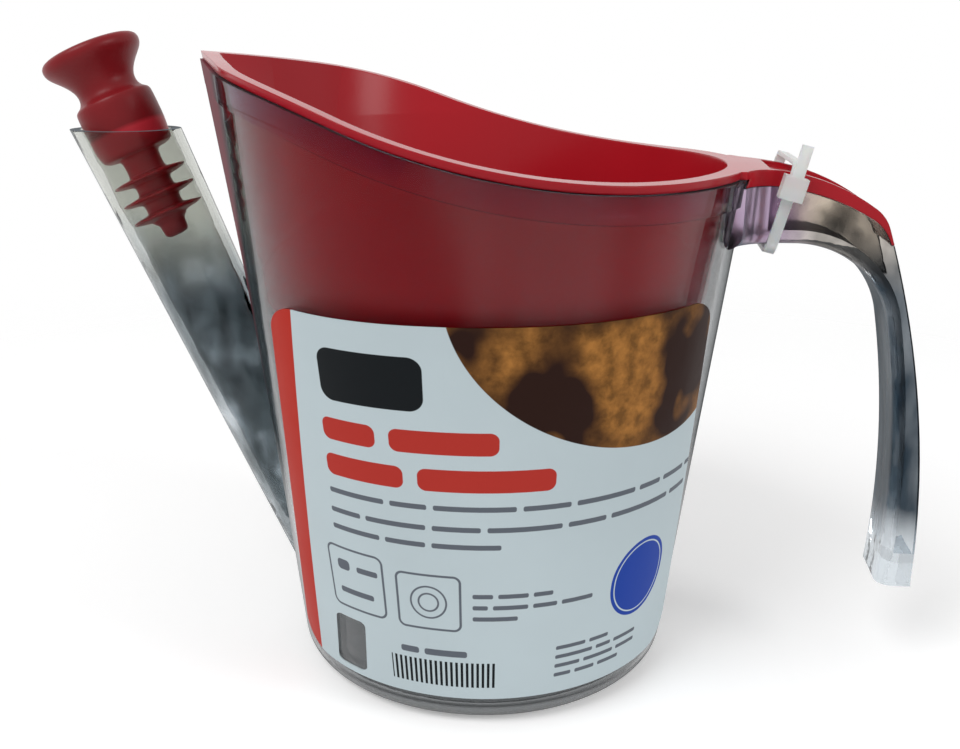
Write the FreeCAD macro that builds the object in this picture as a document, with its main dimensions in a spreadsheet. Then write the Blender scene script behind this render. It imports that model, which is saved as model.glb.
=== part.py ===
"""Gravy fat separator: clear jug with a side spout, red strainer insert and spout stopper.

Millimetres. The origin is the centre of the jug's foot, on the table.
+X points to the handle, -X to the spout, +Z up. The object is symmetric about y = 0,
apart from the label and the cable tie.
"""
import FreeCAD, Part
import math
import os
import Sketcher
from FreeCAD import Placement, Rotation, Vector

# Driving sizes: name, value, what it is
SIZES = [
    ("foot_radius", 41.25, "jug radius at the table, before the foot edge is rounded"),
    ("foot_round", 5.5, "rounding of the jug's foot edge"),
    ("side_taper", 0.119, "radius gained per mm of height, sides and rear"),
    ("tip_lean", 0.151, "reach gained per mm of height, at the front tip"),
    ("form_height", 134.0, "height at which the side surfaces end, above the tip"),
    ("side_run", 5.0, "straight stretch of the lip ahead of the rear half circle"),
    ("shoulder_radius", 45.8, "lip radius between the straight stretch and the tip"),
    ("nose_radius", 2.2, "rounding of the front tip"),
    ("jug_wall", 1.8, "wall of the clear jug"),
    ("jug_floor", 2.4, "floor of the clear jug"),
    ("cavity_round", 4.0, "rounding inside the floor's edge"),
    ("brim_height", 109.3, "top of the strainer's brim at the rear"),
    ("brim_rise_start", 42.0, "distance behind the centre where the brim starts to rise"),
    ("brim_sweep_radius", 166.0, "radius of both sweeps of the rising brim"),
    ("brim_slope", 21.5, "steepest slope of the brim, degrees"),
    ("brim_thick", 1.5, "thickness of the strainer's brim"),
    ("seat_gap", 0.15, "gap between the strainer and what it rests on"),
    ("collar_height", 5.0, "height of the thicker band under the jug's lip"),
    ("collar_step", 0.7, "how far that band stands out"),
    ("brim_inset", 0.4, "how far the brim stops inside the jug's side surface"),
    ("bowl_wall", 1.5, "wall of the strainer bowl"),
    ("bowl_bottom", 79.0, "height of the strainer's underside"),
    ("bowl_radius", 46.8, "strainer radius at its underside"),
    ("bowl_taper", 0.15, "strainer radius gained per mm of height"),
    ("bowl_round", 6.0, "rounding of the strainer's lower edge"),
    ("beak_start", 116.0, "height where the strainer's front starts to reach for the tip"),
    ("beak_clearance", 0.5, "gap from the beak to the jug's inner wall"),
    ("hole_radius", 1.5, "strainer hole radius"),
    ("ring_step", 7.5, "distance from one ring of holes to the next"),
    ("ring_count", 5, "rings of holes around the middle one"),
    ("mouth_height", 115.0, "height of the spout's level mouth"),
    ("spout_foot", 33.45, "distance from the jug's centre to the spout's axis, at the port's lower edge"),
    ("spout_tilt", 23.3, "lean of the spout from upright, degrees"),
    ("mouth_radius", 10.95, "outer radius of the spout at its mouth"),
    ("spout_taper", 0.026, "outer radius lost per mm down the spout"),
    ("spout_wall", 2.0, "wall of the spout"),
    ("spout_toe", 0.6, "length of the spout's axis below the port's lower edge"),
    ("spout_over", 12.0, "length of the untrimmed cone above the mouth"),
    ("port_bottom", 9.0, "lower edge of the port from jug to spout"),
    ("port_height", 20.0, "height of that port"),
    ("port_width", 14.0, "width of that port"),
    ("plug_clearance", 0.15, "gap between the stopper and the spout's bore"),
    ("knob_radius", 10.9, "radius of the stopper's flared knob"),
    ("knob_top", 18.5, "height of the knob above the mouth, along the spout"),
    ("knob_edge", 1.5, "rounding of the knob's edge"),
    ("neck_radius", 6.5, "stopper neck radius"),
    ("neck_height", 9.2, "height of the neck above the mouth"),
    ("plug_top", 6.4, "height of the plug's shoulder above the mouth"),
    ("plug_depth", 6.0, "depth of the plug's lower end below the mouth"),
    ("plug_end_radius", 8.2, "radius of the plug's lower end"),
    ("stem_radius", 4.0, "stopper stem radius"),
    ("fin_depth", 11.4, "depth of the first sealing fin below the mouth"),
    ("fin_pitch", 4.2, "distance from one fin to the next"),
    ("fin_count", 3, "number of fins"),
    ("fin_thick", 0.9, "thickness of a fin's edge"),
    ("stub_radius", 2.8, "radius of the stem's end"),
    ("stub_depth", 25.2, "depth of the stem's end below the mouth"),
    ("handle_start", 54.0, "distance behind the centre where the handle's top bends down"),
    ("crest_radius", 42.0, "radius of the handle's top bend"),
    ("crest_turn", 35.0, "turn of that bend, degrees"),
    ("knuckle_radius", 8.0, "radius of the tight bend at the handle's shoulder"),
    ("knuckle_turn", 70.0, "slope where that bend ends, degrees"),
    ("leg_radius", 215.0, "radius of the leg's outer side"),
    ("root_depth", 14.9, "depth of the handle's root below the brim's top"),
    ("palm_start", 63.5, "distance behind the centre where the underside bends down"),
    ("palm_radius", 20.0, "radius of the bend over the fingers"),
    ("palm_turn", 78.0, "slope where that bend ends, degrees"),
    ("inner_leg_radius", 205.0, "radius of the leg's inner side"),
    ("leg_end", 20.8, "height of the handle's free end"),
    ("neck_half", 10.0, "half width of the handle just behind its root"),
    ("root_fillet", 10.0, "radius that blends the handle into the jug, seen from above"),
    ("end_half", 7.4, "half width of the handle at its free end"),
    ("finger_round", 3.0, "rounding of the handle's edges on the fingers' side"),
    ("web", 2.8, "thickness of the handle's channel floor"),
    ("cheek", 2.2, "thickness of the channel's side walls"),
    ("end_block", 7.0, "length of the solid end of the handle"),
    ("channel_start", 57.5, "distance behind the centre where the channel starts"),
    ("tongue_thick", 3.1, "depth of the strainer's tongue at the handle root"),
    ("tongue_crest", 46.0, "radius of the tongue's underside"),
    ("tongue_turn", 31.0, "turn of that bend, degrees"),
    ("tongue_knuckle", 9.0, "radius of the underside at the shoulder"),
    ("tongue_last", 72.0, "slope where the tongue ends, degrees"),
    ("dish_depth", 0.9, "depth of the dished top of the tongue"),
    ("bead", 1.9, "width of the bead left on each side of the dish"),
    ("label_top", 86.2, "height of the label's upper edge"),
    ("label_bottom", 6.8, "height of the label's lower edge"),
    ("label_turn", -79.0, "direction that the label faces, degrees from +X"),
    ("label_top_half", 42.3, "half width of the label's upper edge, seen straight on"),
    ("label_bottom_half", 39.7, "half width of its lower edge, seen straight on"),
    ("label_corner", 5.0, "rounding of the label's corners"),
    ("label_gap", 0.1, "glue line between jug and label"),
    ("label_thick", 0.25, "thickness of the label"),
    ("window_left", -32.0, "left edge of the label's window, seen straight on"),
    ("window_width", 6.2, "width of the window, seen straight on"),
    ("window_bottom", 8.2, "lower edge of the window"),
    ("window_height", 12.6, "height of the window"),
    ("tie_foot", 58.3, "distance behind the centre where the cable tie passes below"),
    ("tie_lean", 14.0, "lean of the tie's loop, degrees"),
    ("tie_width", 2.4, "width of the tie's strap"),
    ("tie_thick", 1.1, "thickness of the strap"),
    ("tie_gap", 0.25, "gap between the loop and what it holds"),
    ("tie_corner", 1.4, "inner rounding of the loop's corners"),
    ("tie_head", 4.8, "side of the tie's square head"),
    ("tie_head_depth", 3.6, "depth of the head"),
    ("tie_head_low", 9.6, "distance of the head above the handle's underside"),
    ("tie_tail", 6.0, "length of the tail above the head"),
]

doc = FreeCAD.newDocument("FatSeparator")
sheet = doc.addObject("Spreadsheet::Sheet", "Sizes")
for row, (name, value, note) in enumerate(SIZES, start=1):
    sheet.set(f"A{row}", name)
    sheet.set(f"B{row}", str(value))
    sheet.set(f"C{row}", note)
    sheet.setAlias(f"B{row}", name)
doc.recompute()


def size(name):
    """Value of one sheet cell."""
    return float(sheet.get(name))


REACH = 1.5 * size("brim_height")  # half length of tools that only have to pass right through


# Small geometry helpers in a plane

def on_circle(centre, radius, degrees):
    """Point on a circle at a polar angle."""
    turn = math.radians(degrees)
    return (centre[0] + radius * math.cos(turn), centre[1] + radius * math.sin(turn))


def line(start, end):
    return ("line", start, end)


def arc(centre, radius, start, end):
    """Arc that runs anticlockwise from one polar angle to another, in degrees."""
    return ("arc", centre, radius, start, end)


def outer_tangent(centre_a, radius_a, centre_b, radius_b, side):
    """Polar angle of the outer tangent's contact points on two circles."""
    away = (centre_a[0] - centre_b[0], centre_a[1] - centre_b[1])
    gap = math.hypot(*away)
    lean = math.degrees(math.acos((radius_b - radius_a) / gap))
    return (math.degrees(math.atan2(away[1], away[0])) + side * lean) % 360


def sketch(name, edges, placement=None, bound=()):
    """A sketch of lines and arcs whose neighbours are joined end to end.

    bound lists (edge number, expression) pairs: radii that follow the sheet.
    """
    item = doc.addObject("Sketcher::SketchObject", name)
    normal = Vector(0, 0, 1)
    ends = []
    for edge in edges:
        if edge[0] == "line":
            start, end = edge[1], edge[2]
            item.addGeometry(Part.LineSegment(Vector(*start, 0), Vector(*end, 0)), False)
        else:
            _, centre, radius, first, last = edge
            start = on_circle(centre, radius, first)
            end = on_circle(centre, radius, last)
            circle = Part.Circle(Vector(*centre, 0), normal, radius)
            turns = (math.radians(first), math.radians(last))
            item.addGeometry(Part.ArcOfCircle(circle, *turns), False)
        ends.append((start, end))
    for one, (start, end) in enumerate(ends):
        for two in range(one + 1, len(ends)):
            for here, point in ((1, start), (2, end)):
                for there, other in ((1, ends[two][0]), (2, ends[two][1])):
                    if math.dist(point, other) < 1e-6:
                        item.addConstraint(Sketcher.Constraint("Coincident", one, here, two, there))
    for edge, expression in bound:
        radius = edges[edge][2]
        index = item.addConstraint(Sketcher.Constraint("Radius", edge, radius))
        item.setExpression(f"Constraints[{index}]", expression)
    if placement is not None:
        item.Placement = placement
    return item


def upright():
    """Placement that stands a sketch in the plane y = 0, its y pointing up."""
    return Placement(Vector(0, 0, 0), Rotation(Vector(1, 0, 0), 90))


def extrusion(name, base, length, both_ways=True):
    """Pad of a sketch along its normal; length is an expression of the sheet."""
    item = doc.addObject("Part::Extrusion", name)
    item.Base = base
    item.DirMode = "Normal"
    item.Solid = True
    item.Symmetric = both_ways
    item.setExpression("LengthFwd", length)
    return item


def common(name, *shapes):
    item = doc.addObject("Part::MultiCommon", name)
    item.Shapes = list(shapes)
    return item


def fuse(name, *shapes):
    item = doc.addObject("Part::MultiFuse", name)
    item.Shapes = list(shapes)
    return item


def cut(name, base, tool):
    item = doc.addObject("Part::Cut", name)
    item.Base = base
    item.Tool = tool
    return item


# Level sections: a circle, or an egg that runs to a tip at the front

def egg_edges(rear, reach, shoulder):
    """Egg outline from (rear, 0) round the front tip at (-reach, 0) and back."""
    run = size("side_run")
    nose = size("nose_radius")
    hip = (-run, rear - shoulder)
    tip = (-(reach - nose), 0.0)
    lean = outer_tangent(tip, nose, hip, shoulder, -1)
    return [
        arc((0, 0), rear, 0, 90),
        line((0, rear), (-run, rear)),
        arc(hip, shoulder, 90, lean),
        line(on_circle(hip, shoulder, lean), on_circle(tip, nose, lean)),
        arc(tip, nose, lean, 180),
        arc(tip, nose, 180, 360 - lean),
        line(on_circle(tip, nose, -lean), on_circle((hip[0], -hip[1]), shoulder, -lean)),
        arc((hip[0], -hip[1]), shoulder, 360 - lean, 270),
        line((-run, -rear), (0, -rear)),
        arc((0, 0), rear, 270, 360),
    ]


def edge_start(edge):
    """First point of a line or arc."""
    if edge[0] == "line":
        return edge[1]
    return on_circle(edge[1], edge[2], edge[3])


def side_radius(height, extra):
    """Radius of the jug's rear and sides, moved out by extra."""
    return size("foot_radius") + size("side_taper") * height + extra


def tip_reach(height, extra):
    """Reach of the jug's front tip, moved out by extra."""
    return size("foot_radius") + size("tip_lean") * height + extra


def level_sketch(name, height, rear, reach, round_section, bound=()):
    """Section at a height. A round one is split where the egg's edges meet."""
    shoulder = size("shoulder_radius") * rear / side_radius(size("form_height"), 0.0)
    edges = egg_edges(rear, reach, shoulder)
    if round_section:
        starts = [math.degrees(math.atan2(*reversed(edge_start(edge)))) % 360 for edge in edges]
        stops = starts[1:] + [360.0]
        edges = [arc((0, 0), rear, first, last) for first, last in zip(starts, stops)]
    return sketch(name, edges, Placement(Vector(0, 0, height), Rotation()), bound)


def loft(name, *sections):
    """Solid whose sides run straight from each section to the next."""
    item = doc.addObject("Part::Loft", name)
    item.Sections = list(sections)
    item.Solid = True
    item.Ruled = True
    return item


def round_low_edges(name, base, height, radius):
    """Fillet of the edges that lie in the level plane at a height."""
    doc.recompute()
    item = doc.addObject("Part::Fillet", name)
    item.Base = base
    picked = []
    for number, edge in enumerate(base.Shape.Edges, start=1):
        box = edge.BoundBox
        if abs(box.ZMin - height) < 1e-3 and abs(box.ZMax - height) < 1e-3:
            picked.append((number, radius, radius))
    item.Edges = picked
    return item


def jug_form(name, low, extra, edge_round=0.0, tip_extra=None):
    """Outer form of the jug moved out by extra, from a height up to form_height."""
    high = size("form_height")
    at_tip = extra if tip_extra is None else tip_extra
    foot = level_sketch(f"{name}_foot", low, side_radius(low, extra), tip_reach(low, extra), True)
    lip = level_sketch(f"{name}_lip", high, side_radius(high, extra), tip_reach(high, at_tip), False)
    form = loft(f"{name}_form", foot, lip)
    if edge_round:
        return round_low_edges(f"{name}_rounded", form, low, edge_round)
    return form


def brim_edges(drop):
    """Region below the brim's top, lowered by drop, in the plane y = 0."""
    top = size("brim_height") - drop
    radius = size("brim_sweep_radius")
    slope = size("brim_slope")
    start = size("brim_rise_start")
    low_centre = (start, top + radius)
    bend = on_circle(low_centre, radius, 270 - slope)
    crest_centre = (2 * bend[0] - low_centre[0], 2 * bend[1] - low_centre[1])
    front = -(tip_reach(size("form_height"), 0.0) + 8.0)
    last = math.degrees(math.acos((front - crest_centre[0]) / radius))
    edges = [
        arc(low_centre, radius, 270 - slope, 270),
        arc(crest_centre, radius, 90 - slope, last),
        line((start, top), (REACH, top)),
        line((REACH, top), (REACH, -REACH)),
        line((REACH, -REACH), (front, -REACH)),
        line((front, -REACH), on_circle(crest_centre, radius, last)),
    ]
    return edges


def below_brim(name, drop):
    """Everything below the brim's top, lowered by drop."""
    face = sketch(f"{name}_side", brim_edges(drop), upright(), [(0, "Sizes.brim_sweep_radius")])
    return extrusion(name, face, "2 * Sizes.brim_height")


# Spout: a leaning cone with a level mouth, open to the jug at its foot

spout_lean = math.radians(size("spout_tilt"))
spout_rise = size("mouth_height") - size("port_bottom")
mouth_reach = size("spout_foot") + spout_rise * math.tan(spout_lean)
spout_length = spout_rise / math.cos(spout_lean) + size("spout_toe")


def spout_cone(name, thinner, below, above):
    """Cone along the spout's axis, thinner than the spout by a wall."""
    item = doc.addObject("Part::Cone", name)
    low = size("mouth_radius") - thinner - size("spout_taper") * below
    high = size("mouth_radius") - thinner + size("spout_taper") * above
    item.Radius1 = low
    item.Radius2 = high
    item.Height = below + above
    item.Placement = along_spout(-below)
    return item


def along_spout(distance):
    """Placement on the spout's axis, its z along the axis, at a distance above the mouth."""
    away = Vector(-math.sin(spout_lean), 0, math.cos(spout_lean))
    middle = Vector(-mouth_reach, 0, size("mouth_height"))
    return Placement(middle + away * distance, Rotation(Vector(0, 1, 0), -size("spout_tilt")))


spout_solid = spout_cone("spout_solid", 0.0, spout_length, size("spout_over"))
spout_bore = spout_cone("spout_bore", size("spout_wall"), spout_length, 2 * size("spout_over"))
# Clear jug

lip_drop = size("brim_thick") + size("seat_gap")
under_brim = below_brim("under_brim", 0.0)
under_plate = below_brim("under_plate", size("brim_thick"))
under_lip = below_brim("under_lip", lip_drop)
under_collar = below_brim("under_collar", lip_drop + size("collar_height"))

jug_side = jug_form("jug", 0.0, 0.0, size("foot_round"))
collar_form = jug_form("collar", size("jug_floor"), size("collar_step"), tip_extra=0.0)
collar = cut("collar_band", collar_form, under_collar)
cavity = jug_form("cavity", size("jug_floor"), -size("jug_wall"), size("cavity_round"))
jug_outside = common("jug_outside", fuse("jug_with_collar", jug_side, collar), under_lip)

port_zone = doc.addObject("Part::Box", "port_zone")
port_zone.setExpression("Length", "Sizes.foot_radius")
port_zone.setExpression("Width", "Sizes.port_width")
port_zone.setExpression("Height", "Sizes.port_height")
port_zone.setExpression("Placement.Base.x", "-1.5 * Sizes.foot_radius")
port_zone.setExpression("Placement.Base.y", "-Sizes.port_width / 2")
port_zone.setExpression("Placement.Base.z", "Sizes.port_bottom")
port = common("port", port_zone, spout_bore)
jug_shell = cut("jug_shell", cut("jug_hollow", jug_outside, cavity), port)

# Spout tube, trimmed to a level mouth and to the jug's outside

level_cut = doc.addObject("Part::Box", "level_cut")
level_cut.setExpression("Length", "2 * Sizes.mouth_height")
level_cut.setExpression("Width", "Sizes.mouth_height")
level_cut.setExpression("Height", "Sizes.mouth_height")
level_cut.setExpression("Placement.Base.x", "-2 * Sizes.mouth_height")
level_cut.setExpression("Placement.Base.y", "-Sizes.mouth_height / 2")
spout_trimmed = cut("spout_open", common("spout_level", spout_solid, level_cut), spout_bore)
spout_tube = cut("spout_tube", spout_trimmed, jug_outside)

# Handle: side outline and outline from above, hollowed into a channel

brim_top = size("brim_height")
root_under = brim_top - size("root_depth")
start = size("handle_start")
crest_turn = size("crest_turn")
knuckle_turn = size("knuckle_turn")
palm_turn = size("palm_turn")


def next_centre(point, radius, turn):
    """Centre of the next tangent arc, for an outline that has turned down by turn."""
    return on_circle(point, -radius, 90 - turn)


def outer_side(inward):
    """Centres and radii of the handle's outer arcs, moved inward."""
    crest = (start, brim_top - size("crest_radius"))
    crest_end = on_circle(crest, size("crest_radius"), 90 - crest_turn)
    knuckle = next_centre(crest_end, size("knuckle_radius"), crest_turn)
    knuckle_end = on_circle(knuckle, size("knuckle_radius"), 90 - knuckle_turn)
    leg = next_centre(knuckle_end, size("leg_radius"), knuckle_turn)
    return [
        (crest, size("crest_radius") - inward),
        (knuckle, size("knuckle_radius") - inward),
        (leg, size("leg_radius") - inward),
    ]


def palm_side(outward):
    """Centres and radii of the arcs on the fingers' side, moved outward."""
    palm = (size("palm_start"), root_under - size("palm_radius"))
    palm_end = on_circle(palm, size("palm_radius"), 90 - palm_turn)
    leg = next_centre(palm_end, size("inner_leg_radius"), palm_turn)
    return [
        (palm, size("palm_radius") + outward),
        (leg, size("inner_leg_radius") + outward),
    ]


def angle_at_height(centre, radius, height):
    """Polar angle where a circle's right side passes a height."""
    return math.degrees(math.asin((height - centre[1]) / radius))


def side_outline():
    """Handle seen from the side, with the strainer's tongue still part of it."""
    (crest, crest_r), (knuckle, knuckle_r), (leg, leg_r) = outer_side(0.0)
    (palm, palm_r), (inner, inner_r) = palm_side(0.0)
    end = size("leg_end")
    leg_low = angle_at_height(leg, leg_r, end)
    inner_low = angle_at_height(inner, inner_r, end)
    root = size("foot_radius")
    under = root_under
    return [
        arc(crest, crest_r, 90 - crest_turn, 90),
        arc(knuckle, knuckle_r, 90 - knuckle_turn, 90 - crest_turn),
        arc(leg, leg_r, leg_low, 90 - knuckle_turn),
        line(on_circle(leg, leg_r, leg_low), on_circle(inner, inner_r, inner_low)),
        arc(inner, inner_r, inner_low, 90 - palm_turn),
        arc(palm, palm_r, 90 - palm_turn, 90),
        line((size("palm_start"), under), (root, under)),
        line((root, under), (root, brim_top)),
        line((root, brim_top), (start, brim_top)),
    ]


def channel_outline():
    """Hollow of the handle seen from the side, open on its outer side."""
    (palm, palm_r), (inner, inner_r) = palm_side(size("web"))
    low = size("leg_end") + size("end_block")
    inner_low = angle_at_height(inner, inner_r, low)
    floor = root_under + size("web")
    near = size("channel_start")
    far = size("palm_start") + 2 * size("crest_radius")
    return [
        arc(inner, inner_r, inner_low, 90 - palm_turn),
        arc(palm, palm_r, 90 - palm_turn, 90),
        line((size("palm_start"), floor), (near, floor)),
        line((near, floor), (near, brim_top + floor)),
        line((near, brim_top + floor), (far, brim_top + floor)),
        line((far, brim_top + floor), (far, low)),
        line((far, low), on_circle(inner, inner_r, inner_low)),
    ]


def tongue_outline(deeper):
    """Strainer's tongue seen from the side; deeper moves its underside down."""
    (crest, crest_r), (knuckle, knuckle_r), (leg, leg_r) = outer_side(-deeper)
    turn = size("tongue_turn")
    last = size("tongue_last")
    under = brim_top - size("tongue_thick") - deeper
    low = (start, under - size("tongue_crest"))
    low_end = on_circle(low, size("tongue_crest"), 90 - turn)
    tight = next_centre(low_end, size("tongue_knuckle"), turn)
    tight_end = on_circle(tight, size("tongue_knuckle"), 90 - last)
    leg_end = angle_at_height(leg, leg_r, tight_end[1])
    root = size("foot_radius")
    top = brim_top + deeper
    return [
        arc(crest, crest_r, 90 - crest_turn, 90),
        arc(knuckle, knuckle_r, 90 - knuckle_turn, 90 - crest_turn),
        arc(leg, leg_r, leg_end, 90 - knuckle_turn),
        line(on_circle(leg, leg_r, leg_end), tight_end),
        arc(tight, size("tongue_knuckle"), 90 - last, 90 - turn),
        arc(low, size("tongue_crest"), 90 - turn, 90),
        line((start, under), (root, under)),
        line((root, under), (root, top)),
        line((root, top), (start, top)),
    ]


def dish_outline():
    """Shallow hollow of the tongue's top seen from the side, closed above it."""
    (crest, crest_r), (knuckle, knuckle_r), _ = outer_side(size("dish_depth"))
    floor = brim_top - size("dish_depth")
    high = brim_top + size("knuckle_radius")
    last = 90 - knuckle_turn
    end = on_circle(knuckle, knuckle_r, last)
    outside = (end[0] + size("knuckle_radius"), high)
    return [
        arc(crest, crest_r, 90 - crest_turn, 90),
        arc(knuckle, knuckle_r, last, 90 - crest_turn),
        line(end, outside),
        line(outside, (size("channel_start"), high)),
        line((size("channel_start"), high), (size("channel_start"), floor)),
        line((size("channel_start"), floor), (start, floor)),
    ]


def plan_outline(inset):
    """Handle seen from above, its sides moved in by inset."""
    rim = side_radius(brim_top, size("collar_step"))
    fillet = size("root_fillet")
    half = size("neck_half")
    centre_y = half + fillet
    centre = (math.sqrt((rim + fillet) ** 2 - centre_y ** 2), centre_y)
    contact = math.degrees(math.atan2(centre[1], centre[0])) + 180
    first = on_circle(centre, fillet + inset, contact)
    root = (size("foot_radius"), first[1])
    neck = (centre[0], half - inset)
    end = (centre[0] + size("crest_radius"), size("end_half") - inset)

    def below(point):
        return (point[0], -point[1])

    return [
        line(root, first),
        arc(centre, fillet + inset, contact, 270),
        line(neck, end),
        line(end, below(end)),
        line(below(end), below(neck)),
        arc(below(centre), fillet + inset, 90, 360 - contact),
        line(below(first), below(root)),
        line(below(root), root),
    ]


def side_pad(name, edges, bound=()):
    """Pad across the object of an outline seen from the side."""
    return extrusion(name, sketch(f"{name}_side", edges, upright(), bound), "Sizes.brim_height")


def plan_pad(name, inset):
    """Pad upwards of the handle's outline seen from above."""
    return extrusion(name, sketch(f"{name}_plan", plan_outline(inset)), "3 * Sizes.brim_height")


def round_finger_edges(base):
    """Fillet along both flanks on the fingers' side; it runs on from the leg to the root."""
    doc.recompute()
    item = doc.addObject("Part::Fillet", "handle_rounded")
    item.Base = base
    inner, inner_r = palm_side(0.0)[1]
    edges = []
    for number, edge in enumerate(base.Shape.Edges, start=1):
        middle = edge.valueAt((edge.FirstParameter + edge.LastParameter) / 2)
        on_inner = abs(math.dist((middle.x, middle.z), inner) - inner_r) < 0.01
        if on_inner and abs(middle.y) > size("cheek"):
            edges.append((number, size("finger_round"), size("finger_round")))
    item.Edges = edges
    return item


handle_side = side_pad("handle_long", side_outline(), [(0, "Sizes.crest_radius")])
handle_plan = plan_pad("handle_wide", 0.0)
channel = common(
    "channel",
    side_pad("channel_long", channel_outline()),
    plan_pad("channel_wide", size("cheek")),
)
tongue_space = side_pad("tongue_space", tongue_outline(size("seat_gap")))
handle_whole = common("handle_whole", handle_side, handle_plan)
handle_bar = cut("handle_bar", round_finger_edges(handle_whole), channel)
handle = cut("handle", cut("handle_seat", handle_bar, tongue_space), jug_outside)

# Strainer insert: bowl, brim, tongue over the handle, and a floor full of holes


def bowl_form(name, inward, low, edge_round):
    """Bowl moved inward: a cone below, then a front that reaches for the tip."""
    middle = size("beak_start")
    high = size("form_height")

    def rear(height):
        return size("bowl_radius") + size("bowl_taper") * (height - size("bowl_bottom")) - inward

    tip = tip_reach(high, -size("jug_wall") - size("beak_clearance") - inward)
    sections = [
        level_sketch(f"{name}_low", low, rear(low), rear(low), True),
        level_sketch(f"{name}_middle", middle, rear(middle), rear(middle), True),
        level_sketch(f"{name}_high", high, rear(high), tip, False),
    ]
    return round_low_edges(f"{name}_rounded", loft(f"{name}_form", *sections), low, edge_round)


bowl_floor = size("bowl_bottom") + size("bowl_wall")
bowl_room = -size("jug_wall") - size("beak_clearance")
bowl_outside = common(
    "bowl_outside",
    bowl_form("bowl", 0.0, size("bowl_bottom"), size("bowl_round")),
    jug_form("bowl_room", size("jug_floor"), bowl_room),
)
bowl_inside = common(
    "bowl_inside",
    bowl_form("hollow", size("bowl_wall"), bowl_floor, size("bowl_round") - size("bowl_wall")),
    jug_form("hollow_room", size("jug_floor"), bowl_room - size("bowl_wall")),
)
brim_form = jug_form("brim", size("bowl_bottom"), -size("brim_inset"))
brim_plate = cut("brim_plate", common("brim_block", brim_form, under_brim), under_plate)
tongue_bar = common("tongue_bar", side_pad("tongue_long", tongue_outline(0.0)), handle_plan)
clear_of_lip = jug_form("clear_of_lip", size("bowl_bottom"), size("collar_step") + 2 * size("seat_gap"))
tongue_low = cut("tongue_low", tongue_bar, clear_of_lip)
tongue_high = cut("tongue_high", common("tongue_block", tongue_bar, under_brim), under_plate)
dish = common("dish", side_pad("dish_long", dish_outline()), plan_pad("dish_wide", size("bead")))
strainer_solid = fuse(
    "strainer_solid",
    common("bowl_block", bowl_outside, under_brim),
    brim_plate,
    cut("tongue", fuse("tongue_whole", tongue_low, tongue_high), dish),
)


def hole_plan():
    """Sketch of the floor's round holes: one in the middle and rings about it."""
    item = doc.addObject("Sketcher::SketchObject", "hole_plan")
    spots = [(0.0, 0.0)]
    for ring in range(1, int(size("ring_count")) + 1):
        for step in range(6 * ring):
            spots.append(on_circle((0, 0), ring * size("ring_step"), 60.0 * step / ring))
    for number, spot in enumerate(spots):
        item.addGeometry(Part.Circle(Vector(*spot, 0), Vector(0, 0, 1), size("hole_radius")), False)
        if number == 0:
            item.addConstraint(Sketcher.Constraint("Radius", 0, size("hole_radius")))
            item.setExpression("Constraints[0]", "Sizes.hole_radius")
        else:
            item.addConstraint(Sketcher.Constraint("Equal", 0, number))
    item.setExpression("Placement.Base.z", "Sizes.bowl_bottom")
    return item


hole_tools = extrusion("hole_tools", hole_plan(), "4 * Sizes.bowl_wall")
strainer_insert = cut("strainer_insert", cut("strainer_open", strainer_solid, bowl_inside), hole_tools)

# Spout stopper: turned about the spout's axis, heights counted from the mouth


def bore_radius(height):
    return size("mouth_radius") - size("spout_wall") + size("spout_taper") * height


def stopper_outline():
    """Half section of the stopper as radius and height points, from top to bottom."""
    plug = bore_radius(-size("plug_depth")) - size("plug_clearance")
    edge = size("knob_edge")
    flare_top = size("knob_top") - 2 * edge
    points = [
        (0.0, size("knob_top")),
        (size("knob_radius") - edge, size("knob_top") - edge * 0.35),
        (size("knob_radius"), size("knob_top") - edge),
        (size("knob_radius") - 0.2 * edge, flare_top),
        (size("neck_radius"), size("neck_height")),
        (size("neck_radius") + 0.9, size("plug_top") + 1.2),
        (plug, size("plug_top")),
        (plug, 0.0),
        (size("plug_end_radius"), -size("plug_depth")),
        (size("stem_radius"), -size("plug_depth")),
    ]
    half = size("fin_thick") / 2
    for number in range(int(size("fin_count"))):
        depth = size("fin_depth") + number * size("fin_pitch")
        fin = bore_radius(-depth) - size("plug_clearance")
        points.append((size("stem_radius"), -depth + 2 * half))
        points.append((fin, -depth + half))
        points.append((fin, -depth - half))
        points.append((size("stem_radius"), -depth - 2 * half))
    last = size("fin_depth") + (size("fin_count") - 1) * size("fin_pitch")
    points.append((size("stub_radius"), -last - size("fin_pitch") / 2))
    points.append((size("stub_radius"), -size("stub_depth") + 0.5))
    points.append((size("stub_radius") - 0.5, -size("stub_depth")))
    points.append((0.0, -size("stub_depth")))
    return points


outline = stopper_outline()
stopper_body = doc.addObject("PartDesign::Body", "spout_stopper")
stopper_sketch = stopper_body.newObject("Sketcher::SketchObject", "stopper_section")
origin = {feature.Role: feature for feature in stopper_body.Origin.OriginFeatures}
stopper_sketch.AttachmentSupport = [(origin["XZ_Plane"], "")]
stopper_sketch.MapMode = "FlatFace"
for first, last in zip(outline, outline[1:] + outline[:1]):
    stopper_sketch.addGeometry(Part.LineSegment(Vector(*first, 0), Vector(*last, 0)), False)
for number in range(len(outline)):
    following = (number + 1) % len(outline)
    stopper_sketch.addConstraint(Sketcher.Constraint("Coincident", number, 2, following, 1))
turned = stopper_body.newObject("PartDesign::Revolution", "stopper_turned")
turned.Profile = stopper_sketch
turned.ReferenceAxis = (stopper_sketch, ["V_Axis"])
turned.Angle = 360.0
stopper_body.Placement = along_spout(0.0)

# Label: a thin skin on the jug's near side, with a window near one corner


def label_frame(depth):
    """Placement of a sketch that faces the way the label does."""
    turn = size("label_turn")
    facing = Rotation(Vector(0, 0, 1), turn + 90)
    stand = Rotation(Vector(1, 0, 0), 90)
    away = facing.multVec(Vector(0, -depth, 0))
    return Placement(away, facing.multiply(stand))


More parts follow.
